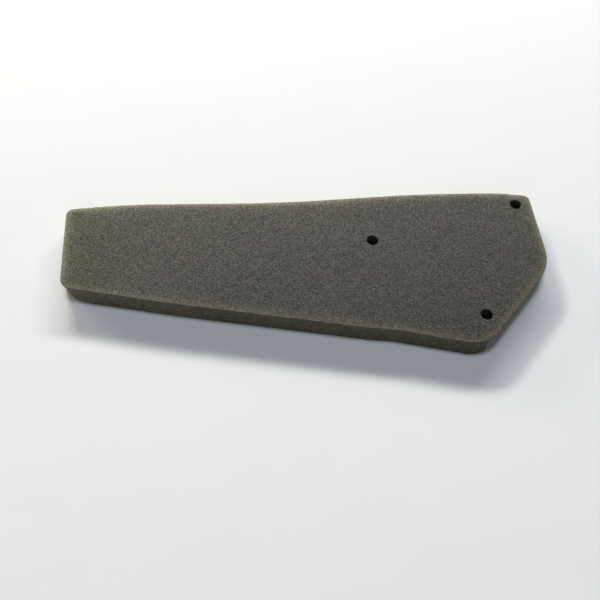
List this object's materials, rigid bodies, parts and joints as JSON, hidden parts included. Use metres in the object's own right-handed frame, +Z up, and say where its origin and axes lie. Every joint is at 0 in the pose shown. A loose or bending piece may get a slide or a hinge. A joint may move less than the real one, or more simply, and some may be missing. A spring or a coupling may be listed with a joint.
{
  "type": "foam air filter element",
  "caption": "Flat die-cut slab of open-cell polyurethane foam with a tapered, blunt-pointed outline and punched locating holes; filters intake air in a small engine's air box.",
  "frame": {"origin": "centre of the bounding box, on the lower face that the slab rests on", "axes": "+X along the long back edge towards the pointed end, +Y across the slab towards the back edge, +Z up through the thickness"},
  "size_m": [0.275, 0.1064, 0.012],
  "materials": {
    "foam": "matte"
  },
  "bodies": {
    "root": {"foam_element": "foam"}
  },
  "joints": []
}
